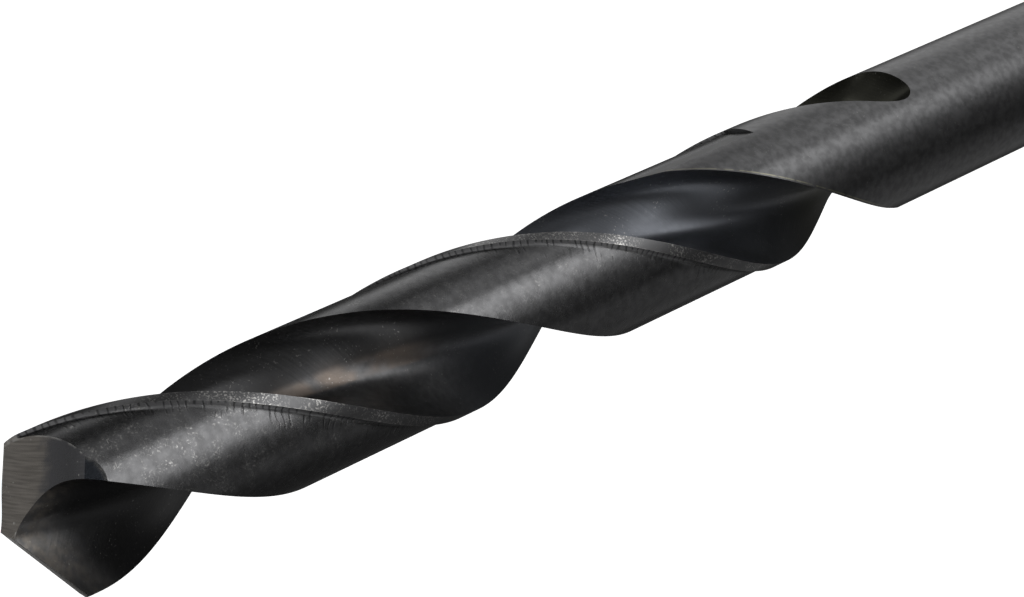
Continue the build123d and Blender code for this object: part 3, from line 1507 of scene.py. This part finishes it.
class Stage:
    """White surroundings: a studio's light in the world, a floor and a lamp above.

    The panels are, in order: the key light; its two shoulders; a lower light for the flutes; a dim one
    beside the key; the backdrop; a band and a dim panel between it and the key; a wide one over them;
    one opposite the backdrop; a wide dim one above; one for the flanks; three round the sides.
    """

    PANELS = (
        Softbox(-93.8, -28.9, 0.18, 0.46, -115.8, 2.9, 0.09),
        Softbox(-77.7, -50.0, 0.16, 0.16, -73.2, 1.0, 0.14),
        Softbox(-73.9, -10.7, 0.14, 0.24, -105.9, 0.6, 0.14),
        Softbox(-130.0, -20.0, 0.2, 0.08, 0.0, 1.1, 0.12),
        Softbox(-128.0, -40.0, 0.22, 0.1, 0.0, 0.1, 0.1),
        Softbox(-0.7, -57.0, 0.62, 0.27, 35.3, 0.88),
        Softbox(-47.8, -41.8, 0.22, 0.08, -47.5, 0.8),
        Softbox(-52.1, -68.1, 0.36, 0.24, -33.4, 0.3, 0.16),
        Softbox(-40.2, -23.3, 0.58, 0.2, -76.1, 0.42),
        Softbox(174.7, -43.5, 0.75, 0.14, -159.6, 0.2, 0.09),
        Softbox(-106.4, 40.2, 0.9, 0.4, -109.8, 0.14, 0.15),
        Softbox(15.0, 42.0, 0.6, 0.3, 140.0, 0.4),
        Softbox(-45.0, 12.0, 0.25, 0.5, 0.0, 1.3),
        Softbox(75.0, 12.0, 0.25, 0.5, 0.0, 1.3),
        Softbox(195.0, 12.0, 0.25, 0.5, 0.0, 1.3),
    )
    FILL = 0.05
    WHITE = (1.0, 1.0, 1.0, 1.0)
    FLOOR_SIZE = 6.0
    FLOOR_COLOUR = (0.8, 0.8, 0.8, 1.0)
    FLOOR_GLOW = 0.95
    LAMP_SIZE = 0.6
    LAMP_POWER = 0.6
    LAMP_PLACE = (-0.3, -0.2, 0.8)
    LAMP_AIM = (0, 0, 0.1)

    def make(self) -> None:
        """Makes world, floor and lamp."""
        self._world()
        self._floor()
        self._lamp()

    def _world(self) -> None:
        """Soft panels in a dim room, in front of a white background."""
        world = bpy.data.worlds.new("studio")
        world.use_nodes = True
        world.node_tree.nodes.clear()
        maker = NodeMaker(world.node_tree)
        way = maker.node("ShaderNodeTexCoord").outputs["Generated"]
        light = sum((panel.glow(maker, way) for panel in self.PANELS), Value.number(maker, self.FILL))
        seen = self._seen(maker)
        strength = seen + light * (1 - seen)
        shown = maker.value("ShaderNodeBackground", {}, {"Color": self.WHITE, "Strength": strength})
        maker.node("ShaderNodeOutputWorld", {}, {"Surface": shown})
        bpy.context.scene.world = world

    def _seen(self, maker: NodeMaker) -> Value:
        """Rays that show the white background: the camera's, and those that pass through a clear thing.

        Args:
            maker: Adds nodes to the tree.

        Returns:
            1 for these rays and 0 for the others.
        """
        path = maker.node("ShaderNodeLightPath")
        through = Value(maker, path.outputs["Is Transmission Ray"])
        return Value(maker, path.outputs["Is Camera Ray"]).math("MAXIMUM", through)

    def _floor(self) -> None:
        """Wide white floor under the bit, through which the steel reflects the studio's panels."""
        half = self.FLOOR_SIZE / 2
        mesh = bpy.data.meshes.new("floor")
        corners = [(-half, -half, 0), (half, -half, 0), (half, half, 0), (-half, half, 0)]
        mesh.from_pydata(corners, [], [(0, 1, 2, 3)])
        floor = add_object("floor", mesh)
        material = bpy.data.materials.new("white_floor")
        material.use_nodes = True
        material.node_tree.nodes.clear()
        maker = NodeMaker(material.node_tree)
        paper = maker.value("ShaderNodeBsdfDiffuse", {}, {"Color": self.FLOOR_COLOUR})
        glow = maker.value("ShaderNodeEmission", {}, {"Color": self.WHITE, "Strength": self.FLOOR_GLOW})
        both = maker.value("ShaderNodeAddShader", {}, {0: paper, 1: glow})
        clear = maker.value("ShaderNodeBsdfTransparent")
        shown = maker.value("ShaderNodeMixShader", {}, {0: self._seen(maker), 1: clear, 2: both})
        maker.node("ShaderNodeOutputMaterial", {}, {"Surface": shown})
        mesh.materials.append(material)

    def _lamp(self) -> None:
        """Wide soft lamp above the bit."""
        data = bpy.data.lights.new("above", "AREA")
        data.size = self.LAMP_SIZE
        data.energy = self.LAMP_POWER
        lamp = add_object("above", data)
        lamp.location = self.LAMP_PLACE
        way = Vector(self.LAMP_AIM) - lamp.location
        lamp.rotation_euler = way.to_track_quat("-Z", "Y").to_euler()


def main() -> None:
    """Builds the bit, its stage and its camera."""
    logging.basicConfig(level=logging.INFO, format="%(name)s: %(message)s")
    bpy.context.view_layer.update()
    low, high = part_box(NODE)
    sizes = DrillSizes(diameter=(high.x - low.x) / MM, overall_length=(high.z - low.z) / MM)
    kinds = {
        Finish.LAND: LandFinish,
        Finish.FLUTE: FluteFinish,
        Finish.RELIEF: ReliefFinish,
        Finish.FLANK: FlankFinish,
    }
    finishes = {finish: kind(finish.value).material(sizes) for finish, kind in kinds.items()}
    body = DrillBody(sizes).build(finishes)
    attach(body, BODY)
    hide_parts(NODE)
    body.data.calc_loop_triangles()
    LOG.info("%s: %d triangles", body.name, len(body.data.loop_triangles))
    Viewpoint().make()
    Stage().make()
    bpy.context.scene.view_settings.view_transform = "Standard"


if __name__ == "__main__":
    main()
